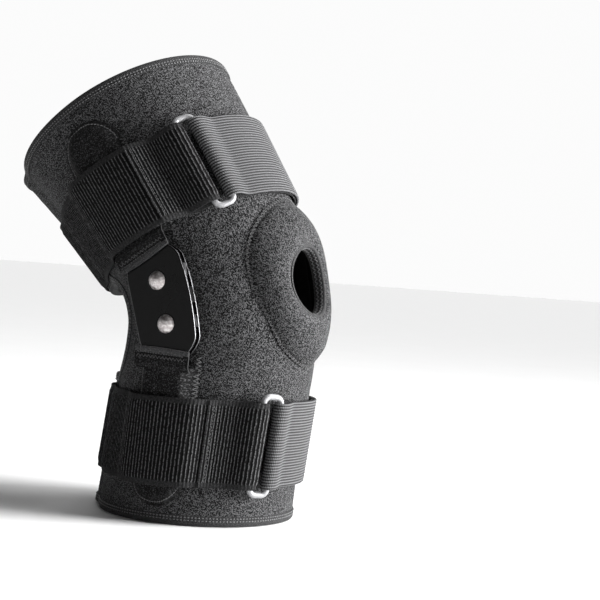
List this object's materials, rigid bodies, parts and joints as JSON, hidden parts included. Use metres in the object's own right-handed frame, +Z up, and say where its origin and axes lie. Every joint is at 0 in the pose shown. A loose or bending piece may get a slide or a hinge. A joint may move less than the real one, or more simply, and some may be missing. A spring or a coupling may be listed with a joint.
{
  "type": "knee brace",
  "caption": "Hinged wraparound knee brace with an open padded patella ring, geared side hinges in sewn pockets, and thigh and calf straps that turn back through rings.",
  "frame": {"origin": "centre of the calf opening, on the plane that the calf rim stands on", "axes": "+Z up along the leg, -Y towards the front of the knee, -X towards the outer side of the leg"},
  "size_m": [0.145, 0.2043, 0.2723],
  "materials": {
    "sleeve": "matt heathered stretch knit over foam",
    "pocket": "matt heathered knit tape",
    "binding": "matt overlocked knit binding",
    "strap_pile": "brushed loop pile with fine cross ribs",
    "webbing_inner": "ribbed woven elastic",
    "hook_tab": "moulded hook tape",
    "ring": "satin moulded ring",
    "plate": "gloss black with bare bright edges",
    "rivet": "polished domes",
    "stay": "brushed strip",
    "washer": "thin nylon"
  },
  "bodies": {
    "calf": {"calf_wrap": "sleeve", "calf_wing": "sleeve", "calf_wrap_hook_tab": "hook_tab", "calf_edge_binding": "binding", "calf_stay_lateral": "stay", "calf_stay_medial": "stay", "calf_pocket_lateral": "pocket", "calf_pocket_medial": "pocket", "calf_pocket_hem_lateral": "pocket", "calf_pocket_hem_medial": "pocket", "calf_strap": "strap_pile"},
    "lateral_hinge": {"lateral_outer_plate": "plate", "lateral_inner_plate": "plate", "lateral_upper_rivet": "rivet", "lateral_lower_rivet": "rivet", "lateral_washers": "washer", "lateral_extension_stop": "stay", "knee_panel": "sleeve", "patella_pad": "sleeve", "patella_binding": "binding"},
    "medial_hinge": {"medial_outer_plate": "plate", "medial_inner_plate": "plate", "medial_upper_rivet": "rivet", "medial_lower_rivet": "rivet", "medial_washers": "washer", "medial_extension_stop": "stay"},
    "thigh": {"thigh_wrap": "sleeve", "thigh_wing": "sleeve", "thigh_wrap_hook_tab": "hook_tab", "thigh_edge_binding": "binding", "thigh_stay_lateral": "stay", "thigh_stay_medial": "stay", "thigh_pocket_lateral": "pocket", "thigh_pocket_medial": "pocket", "thigh_pocket_hem_lateral": "pocket", "thigh_pocket_hem_medial": "pocket", "thigh_strap": "strap_pile"},
    "calf_ring": {"calf_ring": "ring"},
    "calf_strap_tail": {"calf_strap_tail": "webbing_inner", "calf_strap_hook_tab": "hook_tab"},
    "thigh_ring": {"thigh_ring": "ring"},
    "thigh_strap_tail": {"thigh_strap_tail": "webbing_inner", "thigh_strap_hook_tab": "hook_tab"}
  },
  "joints": [
    {"name": "lower_pivot", "type": "hinge", "parent": "calf", "child": "lateral_hinge", "pos_m": [0, -0.00936, 0.11261], "axis": [-1, 0, 0], "range_deg": [-18.5, 19], "deforming": ["knee_panel", "patella_pad", "patella_binding"]},
    {"name": "upper_pivot", "type": "hinge", "parent": "lateral_hinge", "child": "thigh", "pos_m": [0, -0.00164, 0.13639], "axis": [-1, 0, 0], "range_deg": [-18.5, 19], "deforming": ["knee_panel", "patella_pad", "patella_binding"]},
    {"name": "medial_pivot", "type": "hinge", "parent": "calf", "child": "medial_hinge", "pos_m": [0, -0.00936, 0.11261], "axis": [-1, 0, 0], "range_deg": [-18.5, 19]},
    {"name": "calf_ring_lift", "type": "hinge", "parent": "calf", "child": "calf_ring", "pos_m": [-0.03579, -0.05681, 0.04776], "axis": [-0.0115, 0.1052, -0.9944], "range_deg": [0, 25]},
    {"name": "calf_tail_peel", "type": "hinge", "parent": "calf_ring", "child": "calf_strap_tail", "pos_m": [-0.02579, -0.06246, 0.04704], "axis": [-0.0115, 0.1052, -0.9944], "range_deg": [0, 90]},
    {"name": "thigh_ring_lift", "type": "hinge", "parent": "thigh", "child": "thigh_ring", "pos_m": [-0.05086, -0.01303, 0.20331], "axis": [0.0601, -0.5586, -0.8272], "range_deg": [0, 25]},
    {"name": "thigh_tail_peel", "type": "hinge", "parent": "thigh_ring", "child": "thigh_strap_tail", "pos_m": [-0.04304, -0.01974, 0.20842], "axis": [0.0601, -0.5586, -0.8272], "range_deg": [0, 90]}
  ],
  "couplings": [
    {"joint": "upper_pivot", "follows": "lower_pivot", "ratio": 1},
    {"joint": "medial_pivot", "follows": "lower_pivot", "ratio": 1}
  ]
}
